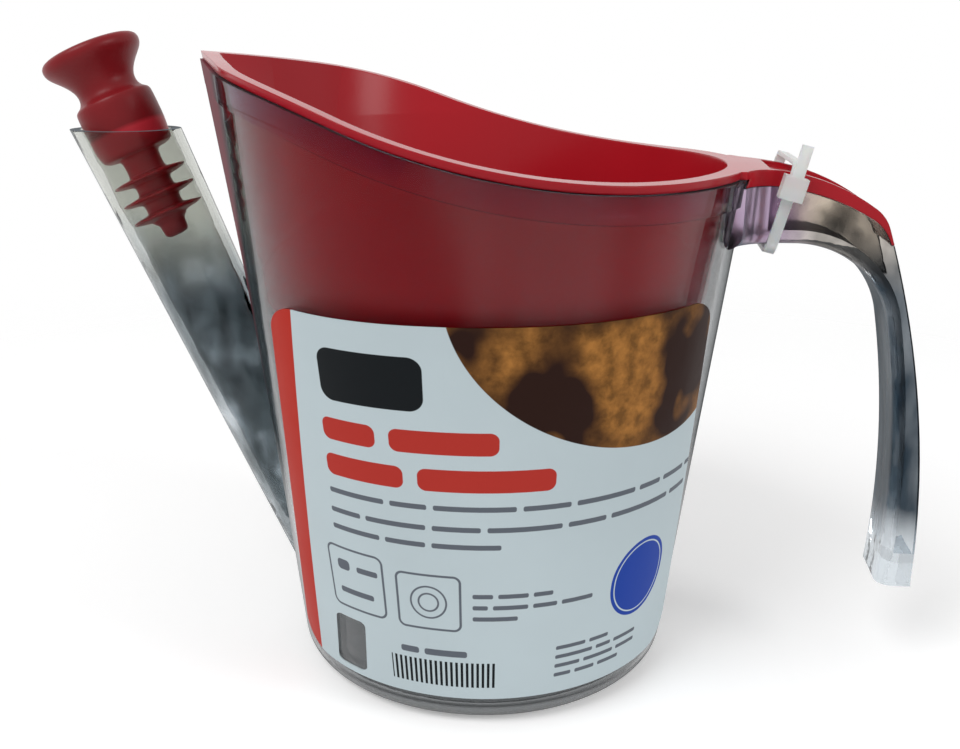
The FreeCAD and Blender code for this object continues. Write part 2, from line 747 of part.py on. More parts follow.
def rounded_polygon(corners, radius):
    """Edges of a polygon, given anticlockwise, with rounded corners."""
    arcs = []
    count = len(corners)
    for number, corner in enumerate(corners):
        before = Vector(*corners[number - 1], 0)
        here = Vector(*corner, 0)
        after = Vector(*corners[(number + 1) % count], 0)
        into = (here - before).normalize()
        out = (after - here).normalize()
        turn = into.getAngle(out)
        back = radius * math.tan(turn / 2)
        left = Vector(-into.y, into.x, 0)
        centre = here - into * back + left * radius
        first = math.degrees(math.atan2(-left.y, -left.x))
        arcs.append(arc((centre.x, centre.y), radius, first, first + math.degrees(turn)))
    edges = []
    for number, bend in enumerate(arcs):
        following = arcs[(number + 1) % count]
        edges.append(bend)
        leaves = on_circle(bend[1], bend[2], bend[4])
        arrives = on_circle(following[1], following[2], following[3])
        edges.append(line(leaves, arrives))
    return edges


def label_pad(name, corners, radius):
    """Pad of a rounded outline from the jug's axis out past its wall."""
    face = sketch(f"{name}_face", rounded_polygon(corners, radius), label_frame(0.0))
    return extrusion(name, face, "2 * Sizes.foot_radius", both_ways=False)


label_low, label_high = size("label_bottom"), size("label_top")
low_half, high_half = size("label_bottom_half"), size("label_top_half")
label_pad_solid = label_pad(
    "label_area",
    [(-low_half, label_low), (low_half, label_low), (high_half, label_high), (-high_half, label_high)],
    size("label_corner"),
)
window_right = size("window_left") + size("window_width")
window_high = size("window_bottom") + size("window_height")
window = label_pad(
    "window",
    [
        (size("window_left"), size("window_bottom")),
        (window_right, size("window_bottom")),
        (window_right, window_high),
        (size("window_left"), window_high),
    ],
    0.2 * size("window_width"),
)
glue_form = jug_form("glue", 0.0, size("label_gap"))
skin_form = jug_form("skin", 0.0, size("label_gap") + size("label_thick"))
label_area = cut("label_with_window", label_pad_solid, window)
label = common("label", cut("label_skin", skin_form, glue_form), label_area)

# Cable tie: a closed loop round the handle's root and the tongue, with head and tail


def tie_frame():
    """Placement of the loop's plane: x across the object, y up along the leaning loop."""
    lean = Rotation(Vector(0, 1, 0), size("tie_lean"))
    stand = Rotation(Vector(1, 1, 1), 120)
    return Placement(Vector(size("tie_foot"), 0, root_under), lean.multiply(stand))


def loop_corners(half, low, high):
    return [(-half, low), (half, low), (half, high), (-half, high)]


def tie_pad(name, edges, width):
    face = sketch(f"{name}_face", edges, tie_frame())
    return extrusion(name, face, width)


tie_lean = math.radians(size("tie_lean"))
half_strap = size("tie_width") / 2
tie_gap = size("tie_gap")
lean_gap = tie_gap + half_strap * math.tan(tie_lean)
tie_rise = (brim_top - root_under) / math.cos(tie_lean)
thick = size("tie_thick")
held = plan_outline(0.0)[1]
nearest = size("tie_foot") - half_strap / math.cos(tie_lean) - (thick + lean_gap) * math.sin(tie_lean)
below_centre = held[1][0] - nearest
held_half = held[1][1] - math.sqrt(size("root_fillet") ** 2 - below_centre ** 2)
inner_half = held_half + tie_gap
inner_low, inner_high = -lean_gap, tie_rise + lean_gap
corner = size("tie_corner")
loop_out = tie_pad(
    "tie_outside",
    rounded_polygon(loop_corners(inner_half + thick, inner_low - thick, inner_high + thick), corner + thick),
    "Sizes.tie_width",
)
loop_in = tie_pad(
    "tie_inside",
    rounded_polygon(loop_corners(inner_half, inner_low, inner_high), corner),
    "2 * Sizes.tie_width",
)
tie_loop = cut("tie_loop", loop_out, loop_in)
head_low = size("tie_head_low")
head_high = head_low + size("tie_head")
head_out = -(inner_half + thick / 2 + size("tie_head_depth"))
tie_head = tie_pad(
    "tie_head",
    rounded_polygon(
        [(head_out, head_low), (-inner_half - thick / 2, head_low),
         (-inner_half - thick / 2, head_high), (head_out, head_high)],
        0.2 * thick,
    ),
    "Sizes.tie_head",
)
tail_out = -(inner_half + size("tie_head_depth"))
tie_tail = tie_pad(
    "tie_tail",
    rounded_polygon(
        [(tail_out, head_high - thick), (tail_out + thick, head_high - thick),
         (tail_out + thick, head_high + size("tie_tail")), (tail_out, head_high + size("tie_tail"))],
        0.2 * thick,
    ),
    "Sizes.tie_width",
)
cable_tie = fuse("cable_tie", tie_loop, tie_head, tie_tail)

doc.recompute()

# Check and write every sub-part

SUB_PARTS = {
    "jug_shell": jug_shell,
    "spout_tube": spout_tube,
    "handle": handle,
    "strainer_insert": strainer_insert,
    "spout_stopper": stopper_body,
    "label": label,
    "cable_tie": cable_tie,
}
for item in doc.Objects:
    if "Invalid" in item.State or "Error" in item.State:
        raise RuntimeError(f"{item.Name} failed: {item.State}")
os.makedirs("parts", exist_ok=True)
for name, item in SUB_PARTS.items():
    item.Label = name
    shape = item.Shape
    if shape.isNull() or not shape.isValid():
        raise RuntimeError(f"{name} has no valid shape")
    if len(shape.Solids) != 1:
        raise RuntimeError(f"{name} has {len(shape.Solids)} solids")
for name, item in SUB_PARTS.items():
    item.Shape.exportStep(f"parts/{name}.step")
    box = item.Shape.BoundBox
    print(
        f"{name}: volume {item.Shape.Volume:.0f} x {box.XMin:.1f}..{box.XMax:.1f}"
        f" y {box.YMin:.1f}..{box.YMax:.1f} z {box.ZMin:.1f}..{box.ZMax:.1f}"
    )
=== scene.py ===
"""Gravy fat separator: clear jug with spout and handle, red strainer, stopper, label and tie."""
import math

import bpy
from bpy.props import FloatProperty, FloatVectorProperty, IntProperty, PointerProperty
from mathutils import Matrix, Vector
from mathutils.bvhtree import BVHTree


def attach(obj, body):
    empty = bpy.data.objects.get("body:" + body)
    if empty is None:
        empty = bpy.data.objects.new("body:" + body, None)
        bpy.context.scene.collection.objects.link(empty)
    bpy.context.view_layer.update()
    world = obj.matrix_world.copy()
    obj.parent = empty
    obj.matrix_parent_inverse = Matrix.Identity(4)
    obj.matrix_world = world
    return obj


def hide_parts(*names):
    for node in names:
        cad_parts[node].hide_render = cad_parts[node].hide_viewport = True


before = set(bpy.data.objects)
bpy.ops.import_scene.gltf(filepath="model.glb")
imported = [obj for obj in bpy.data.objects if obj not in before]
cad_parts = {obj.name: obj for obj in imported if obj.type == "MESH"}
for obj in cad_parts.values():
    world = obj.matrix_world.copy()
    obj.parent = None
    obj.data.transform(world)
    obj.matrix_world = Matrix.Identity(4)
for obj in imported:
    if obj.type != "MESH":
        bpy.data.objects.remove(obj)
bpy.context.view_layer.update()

bl_info = {
    "name": "Fat Separator",
    "version": (1, 0, 0),
    "blender": (4, 5, 0),
    "location": "View3D > Sidebar > Separator",
    "description": "Dresses a gravy fat separator and sets it on a studio floor",
    "category": "Object",
}

WHITE = (1.0, 1.0, 1.0, 1.0)

# Places taken from the model, in metres, with angles written in degrees
MOUTH = Vector((-0.0791, 0.0, 0.115))
SPOUT_TILT = math.radians(23.3)
BRIM_TOP = 0.1093
BRIM_START = 0.042
BRIM_SWEEP = 0.166
BRIM_SLOPE = math.radians(21.5)
BRIM_DROP = 0.00165
COLLAR = 0.005
COLLAR_SLACK = 0.0003

# Small distances in metres: joined vertices, touching walls, and the finish of the tie
WELD = 1e-7
TOUCHING = 0.00006
TIE_THINNER = 0.0002
TIE_EDGE = 0.00022

# Waves in the clear plastic, in metres
WALL_WAVE = 0.00003
LIP_WAVE = 0.0001

# Where the painted light and shade of the clear plastic change, in metres up and, for the last two,
# along
FOOT_TOP = (0.0040, 0.0060)
RIM_FADE = (0.035, 0.055)
MOUTH_FADE = (0.086, 0.104)
PALM_FADE = (0.090, 0.104)
END_FADE = (0.034, 0.043)
BEAK_BACK = (-0.050, -0.044)
ROOT_REACH = (0.058, 0.068)

# Stopper: height above the spout's mouth and radius of each ring, in metres
STUB_RINGS = (
    (-0.0252, 0.0012), (-0.0250, 0.0023), (-0.0244, 0.0028), (-0.0219, 0.0028),
    (-0.0216, 0.0036),
)
KNOB_RINGS = (
    (-0.0062, 0.0041), (-0.0060, 0.0048), (-0.0058, 0.0076), (-0.0052, 0.0081),
    (-0.0010, 0.0085), (0.0000, 0.0086), (0.0056, 0.0086), (0.0063, 0.0084),
    (0.0067, 0.0079), (0.0071, 0.0072), (0.0080, 0.0066), (0.0092, 0.0064),
    (0.0106, 0.0067), (0.0122, 0.0077), (0.0136, 0.0090), (0.0148, 0.0102),
    (0.0156, 0.0107), (0.0164, 0.0109), (0.0172, 0.0108), (0.0178, 0.0103),
    (0.0181, 0.0094), (0.0183, 0.0070), (0.0184, 0.0035), (0.0185, 0.0010),
)

# Sealing fins: depths below the mouth, the taper of the bore, and each fin's profile
FIN_DEPTHS = (0.0198, 0.0156, 0.0114)
BORE_RADIUS = 0.00895
BORE_TAPER = 0.026
FIN_GAP = 0.0003
FIN_FOOT = ((0.0011, 0.0040), (0.0008, 0.0045))
FIN_EDGE = 0.0004
FIN_EASE = 0.0003

# Label, in millimetres round the jug and up: the panel's ellipse and the band's slanted edge
PANEL_CENTRE = (31.0, 92.0)
PANEL_HALF = (40.0, 32.0)
PANEL_RADIUS = 34.0
BAND_SLOPE = 0.1305
BAND_EDGE = -47.8

# Label: centre, half size and corner radius of each rounded shape
PLATE = ((-22.0, 75.2), (9.6, 5.2), 2.6)
OUTLINED_BOXES = (((-29.6, 30.6), (6.8, 7.0), 1.6), ((-13.4, 29.4), (6.4, 6.2), 1.4))
RING_RADII = (3.6, 2.0)
BADGE = ((33.6, 29.0), (8.6, 8.9), 8.6)
BADGE_LINE = ((33.6, 29.0), (7.6, 7.9), 7.6)
STRIPED_BLOCK = ((-11.0, 12.6), (11.5, 3.0), 0.1)

# Label: left end, height, thickness, lengths and gap of each row of bars
WIDE_ROWS = (
    (-32.5, 64.0, 4.6, (11.0, 19.0), 2.6),
    (-32.8, 56.4, 4.6, (16.0, 24.5), 2.6),
)
THIN_ROWS = (
    (-33.0, 50.6, 1.1, (12, 7, 15, 9, 13, 6, 8, 10), 1.2),
    (-33.4, 46.2, 1.1, (7, 12, 9, 14, 8, 16, 7), 1.2),
    (-33.6, 42.4, 1.1, (11, 8, 13), 1.2),
    (-34.0, 33.6, 2.4, (3.2,), 1.0),
    (-29.0, 33.4, 1.3, (5.0,), 1.0),
    (-34.0, 27.6, 1.3, (8.6,), 1.0),
    (-4.6, 31.4, 1.0, (4, 6, 4), 1.0),
    (-4.6, 28.8, 1.0, (3, 7, 5, 7), 1.0),
    (-4.6, 26.2, 1.0, (9,), 1.0),
    (-20.0, 17.6, 1.5, (4, 9), 1.2),
    (13.0, 17.8, 0.9, (7, 5), 1.0),
    (13.0, 15.6, 0.9, (9, 4, 7), 1.0),
    (13.0, 13.4, 0.9, (6, 8, 6), 1.0),
    (13.0, 11.2, 0.9, (4, 5, 6), 1.0),
)

# Floor, in metres, and how far from the middle it fades
FLOOR_SIZE = 6.0
FLOOR_FADE = (0.12, 0.42)

# Lamps: place, target and width in metres
KEY_LAMP = ((-0.35, -0.45, 0.75), (0, 0, 0.08), 0.5)
SIDE_LAMP = ((0.75, -0.25, 0.45), (0, 0, 0.07), 0.3)

# Camera: metres, radians for its turns, millimetres for its lens, and its shift in frame widths
CAMERA_PLACE = (0.029764, -0.222509, 0.131528)
CAMERA_YAW = -0.1523
CAMERA_PITCH = 0.3053
CAMERA_ROLL = -0.0022
CAMERA_LENS = 39.375
CAMERA_SENSOR = 36.0
CAMERA_NEAR = 0.01
CAMERA_SHIFT = (0.0170, 0.0053)


def rgb(text):
    """Linear colour of a web colour such as 8B1A1C."""
    parts = [int(text[i:i + 2], 16) / 255 for i in (0, 2, 4)]
    return tuple(
        part / 12.92 if part < 0.04045 else ((part + 0.055) / 1.055) ** 2.4 for part in parts
    )


def shade(tint, share):
    """A darker shade of a colour."""
    return tuple(part * share for part in tint)


def colour(name, text, note):
    """Colour setting with a web colour as its default."""
    return FloatVectorProperty(
        name=name, description=note, subtype="COLOR", size=3, min=0, max=1, default=rgb(text)
    )


class ClearPlasticLook(bpy.types.PropertyGroup):
    """Clear moulding: jug, spout and handle"""
    # wall: light grey of the plastic, partly painted shade that darkens all that is seen through
    # the wall
    wall: colour("Wall", "DCDDDE", "Tint of the thin jug wall")
    # rim and beak: painted shade, dark colours in place of the dark surroundings that the clear
    # wall shows edge on; the beak's is redder
    rim: colour("Rim", "3A4043", "Tint of the jug wall seen edge on")
    beak: colour("Beak", "7A3A44", "Tint of the jug's beak")
    lip: colour("Lip", "CFC6DE", "Tint of the band under the lip")
    # spout and mouth tints are painted shade: greys in place of the dark surroundings seen through
    # the spout, paler towards the stopper
    spout: colour("Spout", "8C9599", "Tint of the spout's lower part")
    painted_mouth_shade: colour("Mouth", "CACCC6", "Tint of the spout's upper part")
    # painted shade: dark grey in place of the dark surroundings seen through the handle
    painted_leg_shade: colour("Leg", "25323D", "Slate tint along the handle")
    # painted light and shade: pale warm colour, mottled dark, in place of what is seen through the
    # handle under the red tongue
    palm_light_and_shade: colour("Palm", "DED6CC", "Tint of the handle under the tongue")
    # painted highlight: pale colour at the handle's free end, also for the pale streaks along the
    # handle and the pale clouds in the spout
    end: colour("End", "DCE3E8", "Tint of the handle's free end")
    # painted shade: dark colour in place of the dark surroundings that handle and spout show edge
    # on
    painted_edge_shade: colour("Slate", "55646F", "Tint of handle and spout seen edge on")
    # painted light: mauve in place of the colours seen through the handle where it leaves the jug
    root: colour("Root", "B9A2BE", "Tint of the handle where it leaves the jug")
    ior: FloatProperty(
        name="IOR", description="Refraction of the clear plastic", default=1.35, min=1, max=2,
    )
    sink: FloatProperty(
        name="Sink", description="How far spout and handle reach into the wall",
        default=0.0009, unit="LENGTH",
    )


class RedLook(bpy.types.PropertyGroup):
    """Strainer and stopper"""
    insert: colour("Insert", "B41B27", "Strainer plastic")
    stopper: colour("Stopper", "841A20", "Soft stopper")
    plug: colour("Plug", "C22F3B", "Stopper inside the spout")
    edge: FloatProperty(
        name="Edge", description="Rounding of moulded edges", default=0.0005, unit="LENGTH",
    )
    segments: IntProperty(name="Segments", description="Sides of the stopper", default=64, min=16)


class LabelLook(bpy.types.PropertyGroup):
    """Printed label"""
    paper: colour("Paper", "C8D6DB", "Ground of the label")
    band: colour("Band", "B82A1C", "Band at the label's left")
    wide_bars: colour("Wide bars", "B8372F", "Wide bars below the plate")
    thin_bars: colour("Thin bars", "646A73", "Thin bars and outlines")
    plate: colour("Plate", "14181B", "Dark plate")
    badge: colour("Badge", "2044A4", "Oval badge")
    dark: colour("Panel dark", "2A1610", "Shade of the warm panel")
    warm: colour("Panel warm", "B47A3C", "Glow of the warm panel")
    facing: FloatProperty(
        name="Facing", description="Direction the label faces, in degrees", default=-79.0,
    )
    girth: FloatProperty(
        name="Girth", description="Millimetres of label for each degree round the jug", default=0.8,
    )


class StudioLook(bpy.types.PropertyGroup):
    """Floor and light"""
    floor: colour("Floor", "F4F4F4", "Floor and backdrop")
    lift: FloatProperty(
        name="Lift", description="How much brighter the floor is seen", default=0.3, min=0,
    )
    world: FloatProperty(
        name="World", description="Plain light from all round", default=0.5, min=0,
    )
    key: FloatProperty(name="Key", description="Power of the main lamp", default=3.6, unit="POWER")
    side: FloatProperty(
        name="Side", description="Power of the side lamp", default=1.6, unit="POWER",
    )


# Modelling helpers

def deselect():
    """Leaves edit mode with nothing selected."""
    if bpy.context.object and bpy.context.object.mode != "OBJECT":
        bpy.ops.object.mode_set(mode="OBJECT")
    bpy.ops.object.select_all(action="DESELECT")


def choose(piece):
    """Selects one piece alone and makes it active."""
    deselect()
    piece.select_set(True)
    bpy.context.view_layer.objects.active = piece


def apply_modifiers(piece):
    """Applies all modifiers of a piece in their order."""
    choose(piece)
    for modifier in list(piece.modifiers):
        bpy.ops.object.modifier_apply(modifier=modifier.name)


def settle(piece):
    """Puts the piece's place into its mesh."""
    choose(piece)
    bpy.ops.object.transform_apply(location=True, rotation=True, scale=True)


def merged_copy(node, name):
    """Copy of a CAD node with its loose triangles joined."""
    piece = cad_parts[node].copy()
    piece.data = piece.data.copy()
    piece.name = piece.data.name = name
    for key in list(piece.keys()):
        del piece[key]
    piece.parent = None
    bpy.context.scene.collection.objects.link(piece)
    choose(piece)
    bpy.ops.object.mode_set(mode="EDIT")
    bpy.ops.mesh.select_all(action="SELECT")
    bpy.ops.mesh.remove_doubles(threshold=WELD)
    bpy.ops.mesh.customdata_custom_splitnormals_clear()
    bpy.ops.object.mode_set(mode="OBJECT")
    return piece


def smooth(piece, degrees):
    """Shades a piece smooth, with sharp edges kept above an angle."""
    choose(piece)
    bpy.ops.object.shade_smooth_by_angle(angle=math.radians(degrees))


def dress(piece, *materials):
    """Gives a piece these materials alone."""
    piece.data.materials.clear()
    for material in materials:
        piece.data.materials.append(material)


def use_slot(piece, slot):
    """Gives all faces of a piece one of its materials."""
    for face in piece.data.polygons:
        face.material_index = slot


def surface_of(piece):
    """Search tree of a piece's surface."""
    return BVHTree.FromObject(piece, bpy.context.evaluated_depsgraph_get())


def sink_into(part, tree, depth):
    """Moves the vertices that touch the jug's wall into it, so that the two overlap."""
    for vertex in part.data.vertices:
        gap = tree.find_nearest(vertex.co)[3]
        if gap < TOUCHING:
            inward = Vector((vertex.co.x, vertex.co.y, 0)).normalized()
            vertex.co -= inward * depth


def turned(name, rings, segments):
    """Closed turned piece about the z axis from (height, radius) rings, lowest first."""
    deselect()
    height, radius = rings[0]
    bpy.ops.mesh.primitive_circle_add(
        vertices=segments, radius=radius, location=(0, 0, height), fill_type="NGON"
    )
    piece = bpy.context.object
    piece.name = piece.data.name = name
    settle(piece)
    bpy.ops.object.mode_set(mode="EDIT")
    bpy.ops.mesh.select_mode(type="FACE")
    bpy.ops.mesh.select_all(action="SELECT")
    for upper, wider in rings[1:]:
        bpy.ops.mesh.extrude_region_move(TRANSFORM_OT_translate={"value": (0, 0, upper - height)})
        grow = wider / radius
        bpy.ops.transform.resize(value=(grow, grow, 1), center_override=(0, 0, upper))
        height, radius = upper, wider
    bpy.ops.mesh.select_all(action="SELECT")
    bpy.ops.mesh.normals_make_consistent(inside=False)
    bpy.ops.object.mode_set(mode="OBJECT")
    return piece


def brim_height(x):
    """Height of the brim's top at a place along the object."""
    if x >= BRIM_START:
        return BRIM_TOP
    bend = BRIM_START - BRIM_SWEEP * math.sin(BRIM_SLOPE)
    if x >= bend:
        return BRIM_TOP + BRIM_SWEEP - math.sqrt(BRIM_SWEEP ** 2 - (BRIM_START - x) ** 2)
    crest = 2 * bend - BRIM_START
    top = BRIM_TOP + 2 * BRIM_SWEEP * (1 - math.cos(BRIM_SLOPE))
    return top - BRIM_SWEEP + math.sqrt(BRIM_SWEEP ** 2 - (x - crest) ** 2)


def fin_rings(depth):
    """Rings of one sealing fin, a little narrower than the spout's bore at its depth."""
    reach = BORE_RADIUS - BORE_TAPER * depth - FIN_GAP
    side = (*FIN_FOOT, (FIN_EDGE, reach - FIN_EASE))
    below = [(-depth - away, radius) for away, radius in side]
    above = [(-depth + away, radius) for away, radius in reversed(side)]
    return [*below, (-depth, reach), *above]


# Material helpers

class Graph:
    """Adds and links the nodes of a tree."""

    def __init__(self, tree):
        self.tree = tree

    def link(self, source, target):
        self.tree.links.new(source, target)

    def put(self, value, socket):
        """Links a socket to another node, or sets it to a plain value."""
        if isinstance(value, bpy.types.NodeSocket):
            self.link(value, socket)
        else:
            socket.default_value = value

    def maths(self, operation, *values, clamp=False):
        node = self.tree.nodes.new("ShaderNodeMath")
        node.operation = operation
        node.use_clamp = clamp
        for value, socket in zip(values, node.inputs):
            self.put(value, socket)
        return node.outputs[0]

    def seen_ray(self):
        """1 where the camera, a gloss or a clear piece sees the surface."""
        path = self.tree.nodes.new("ShaderNodeLightPath").outputs
        seen = path["Is Camera Ray"]
        for kind in ("Is Glossy Ray", "Is Transmission Ray"):
            seen = self.maths("MAXIMUM", seen, path[kind])
        return seen

    def mix_shaders(self, factor, first, second):
        """Mix of two shaders."""
        node = self.tree.nodes.new("ShaderNodeMixShader")
        for source, socket in zip((factor, first, second), node.inputs):
            self.link(source, socket)
        return node.outputs[0]

    def white_light(self, strength):
        """Plain white surroundings."""
        node = self.tree.nodes.new("ShaderNodeBackground")
        node.inputs["Color"].default_value = WHITE
        node.inputs["Strength"].default_value = strength
        return node.outputs[0]


class Mixer(Graph):
    """Builds a node material step by step."""

    def __init__(self, name):
        self.material = bpy.data.materials.new(name)
        self.material.use_nodes = True
        super().__init__(self.material.node_tree)
        self.shader = self.tree.nodes["Principled BSDF"]

    def place(self):
        """Object coordinates."""
        return self.tree.nodes.new("ShaderNodeTexCoord").outputs["Object"]

    def axis(self, place, letter):
        """One coordinate of a place: X, Y or Z."""
        split = self.tree.nodes.new("ShaderNodeSeparateXYZ")
        self.link(place, split.inputs[0])
        return split.outputs[letter]

    def dot(self, first, second):
        node = self.tree.nodes.new("ShaderNodeVectorMath")
        node.operation = "DOT_PRODUCT"
        self.put(first, node.inputs[0])
        self.put(second, node.inputs[1])
        return node.outputs["Value"]

    def stretched(self, place, share):
        """Coordinates drawn out along the height, for upright streaks."""
        node = self.tree.nodes.new("ShaderNodeMapping")
        node.inputs["Scale"].default_value = (1.0, 1.0, share)
        self.link(place, node.inputs["Vector"])
        return node.outputs[0]

    def facing(self):
        """0 where the surface faces the viewer, 1 where it is seen edge on."""
        return self.tree.nodes.new("ShaderNodeLayerWeight").outputs["Facing"]

    def noise(self, vector, scale, detail=3.0, roughness=0.5):
        node = self.tree.nodes.new("ShaderNodeTexNoise")
        self.link(vector, node.inputs["Vector"])
        node.inputs["Scale"].default_value = scale
        node.inputs["Detail"].default_value = detail
        node.inputs["Roughness"].default_value = roughness
        return node.outputs["Fac"]

    def spread(self, value, low, high, to_low, to_high):
        """Carries the range from low to high over to another, and stops at its ends."""
        node = self.tree.nodes.new("ShaderNodeMapRange")
        numbers = {"From Min": low, "From Max": high, "To Min": to_low, "To Max": to_high}
        self.put(value, node.inputs["Value"])
        for key, number in numbers.items():
            self.put(number, node.inputs[key])
        return node.outputs["Result"]

    def blend(self, factor, first, second):
        """Mix of two colours."""
        node = self.tree.nodes.new("ShaderNodeMix")
        node.data_type = "RGBA"
        self.put(factor, node.inputs["Factor"])
        for value, socket in ((first, node.inputs["A"]), (second, node.inputs["B"])):
            if not isinstance(value, bpy.types.NodeSocket):
                value = (*value, 1.0)
            self.put(value, socket)
        return node.outputs["Result"]

    def bump(self, height, distance, strength=1.0, normal=None):
        node = self.tree.nodes.new("ShaderNodeBump")
        node.inputs["Distance"].default_value = distance
        node.inputs["Strength"].default_value = strength
        self.put(height, node.inputs["Height"])
        if normal is not None:
            self.link(normal, node.inputs["Normal"])
        return node.outputs["Normal"]

    def rounded(self, radius):
        """Normal that softens the edges."""
        node = self.tree.nodes.new("ShaderNodeBevel")
        node.samples = 6
        node.inputs["Radius"].default_value = radius
        return node.outputs["Normal"]

    def set(self, **sockets):
        """Sets or links the shader's sockets, with _ for a space in their names."""
        for key, value in sockets.items():
            socket = self.shader.inputs[key.replace("_", " ")]
            if isinstance(value, tuple):
                value = (*value, 1.0)
            self.put(value, socket)


def clear_plastic(name, tint, look, wave):
    """Clear thin wall with painted shade where it is seen edge on and at the foot, and painted
    upright sheens.
    """
    mix = Mixer(name)
    place = mix.place()
    height = mix.axis(place, "Z")
    facing = mix.facing()
    # painted shade: the wall darker at the foot
    foot = mix.spread(height, *FOOT_TOP, 0.9, 0.0)
    reach = mix.spread(height, *RIM_FADE, 0.35, 1.0)
    # painted shade: the wall darker where it is seen edge on, less of it low down
    edge = mix.maths("MULTIPLY", mix.spread(facing, 0.35, 0.8, 0.0, 1.0), reach)
    beak = mix.spread(mix.axis(place, "X"), *BEAK_BACK, 1.0, 0.0)
    rim = mix.blend(beak, look.rim, look.beak)
    mix.set(Base_Color=mix.blend(mix.maths("MAXIMUM", edge, foot), tint, rim), Roughness=0.03)
    # edge on the wall turns mostly opaque, so that the painted shade in its base colour shows
    clear = mix.spread(facing, 0.74, 0.92, 1.0, 0.1)
    mix.set(Transmission_Weight=clear, Specular_IOR_Level=0.0)
    # painted reflection: upright streaks where the wall reflects more of the white surroundings
    sheen = mix.spread(mix.noise(mix.stretched(place, 0.06), 55.0, 1.0), 0.52, 0.66, 0.05, 0.55)
    flow = mix.noise(place, 26.0, 2.0)
    mix.set(IOR=look.ior, Specular_Tint=mix.blend(sheen, (0, 0, 0), (1, 1, 1)))
    mix.set(Normal=mix.bump(flow, wave))
    return mix.material


def thick_plastic(mix, tone, edge, look, rough, gloss, flow, wave):
    """Finish of a thick clear piece: its painted tone face on, and painted shade where it is seen
    edge on.
    """
    mix.set(Base_Color=mix.blend(edge, tone, look.painted_edge_shade), Roughness=rough)
    mix.set(Transmission_Weight=mix.maths("SUBTRACT", 1.0, edge), Specular_IOR_Level=0.0)
    mix.set(IOR=look.ior, Specular_Tint=(gloss, gloss, gloss), Normal=mix.bump(flow, wave))
    return mix.material


def spout_plastic(name, look):
    """Clear spout in painted light and shade: grey and streaked below, clearer round the stopper.
    """
    mix = Mixer(name)
    place = mix.place()
    streak = mix.noise(mix.stretched(place, 0.3), 130.0, 3.0, 0.55)
    height = mix.maths("MULTIPLY_ADD", streak, 0.012, mix.axis(place, "Z"))
    # painted shade: darker streaks below
    painted_streak_shade = mix.spread(streak, 0.42, 0.62, 0.0, 1.0)
    low = mix.blend(painted_streak_shade, look.spout, shade(look.spout, 0.4))
    # painted highlights: pale clouds
    cloud = mix.noise(place, 75.0, 2.0)
    low = mix.blend(mix.spread(cloud, 0.5, 0.68, 0.0, 0.7), low, look.end)
    # painted shade: the spout's grey changes upwards to the mouth tint
    tone = mix.blend(mix.spread(height, *MOUTH_FADE, 0.0, 1.0), low, look.painted_mouth_shade)
    # painted shade where the spout is seen edge on
    edge = mix.spread(mix.facing(), 0.78, 0.93, 0.0, 0.9)
    return thick_plastic(mix, tone, edge, look, 0.03, 0.3, cloud, 0.0006)


def handle_plastic(name, look):
    """Thick clear handle in painted light and shade: dark blue-grey down its length, warm under the
    tongue, pale at its free end.
    """
    mix = Mixer(name)
    place = mix.place()
    streak = mix.noise(mix.stretched(place, 0.3), 130.0, 3.0, 0.55)
    height = mix.maths("MULTIPLY_ADD", streak, 0.010, mix.axis(place, "Z"))
    # painted light and shade: mottled dark patches under the tongue
    painted_shade_mottle = mix.spread(mix.noise(place, 110.0, 2.0), 0.43, 0.60, 0.0, 1.0)
    palm_light_and_shade = mix.blend(painted_shade_mottle, look.palm_light_and_shade, shade(look.palm_light_and_shade, 0.3))
    # painted shade along the handle, with pale streaks as painted highlights
    painted_leg_shade = mix.blend(mix.spread(streak, 0.42, 0.66, 0.0, 0.25), look.painted_leg_shade, look.end)
    tone = mix.blend(mix.spread(height, *PALM_FADE, 0.0, 1.0), painted_leg_shade, palm_light_and_shade)
    # painted light: mauve where the handle leaves the jug; this place is also made rougher
    root = mix.spread(mix.axis(place, "X"), *ROOT_REACH, 0.9, 0.0)
    tone = mix.blend(root, tone, look.root)
    # painted highlight: pale free end
    tone = mix.blend(mix.spread(height, *END_FADE, 1.0, 0.0), tone, look.end)
    # painted shade where the handle is seen edge on, less at its free end
    edge = mix.spread(mix.facing(), 0.62, 0.85, 0.0, mix.spread(height, *END_FADE, 0.2, 0.85))
    rough = mix.maths("MULTIPLY_ADD", root, 0.3, 0.03)
    return thick_plastic(mix, tone, edge, look, rough, 0.2, streak, 0.0003)


def red_plastic(name, tint, edge):
    """Glossy moulded plastic with soft edges."""
    mix = Mixer(name)
    place = mix.place()
    cloud = mix.noise(place, 18.0, 2.0)
    tone = mix.blend(mix.spread(cloud, 0.3, 0.7, 0.0, 1.0), shade(tint, 0.82), tint)
    fine = mix.noise(place, 900.0, 2.0)
    rough = mix.spread(cloud, 0.3, 0.7, 0.16, 0.26)
    mix.set(Base_Color=tone, Roughness=rough, Specular_IOR_Level=0.18)
    mix.set(Normal=mix.bump(fine, 0.00002, 0.5, mix.rounded(edge)))
    return mix.material


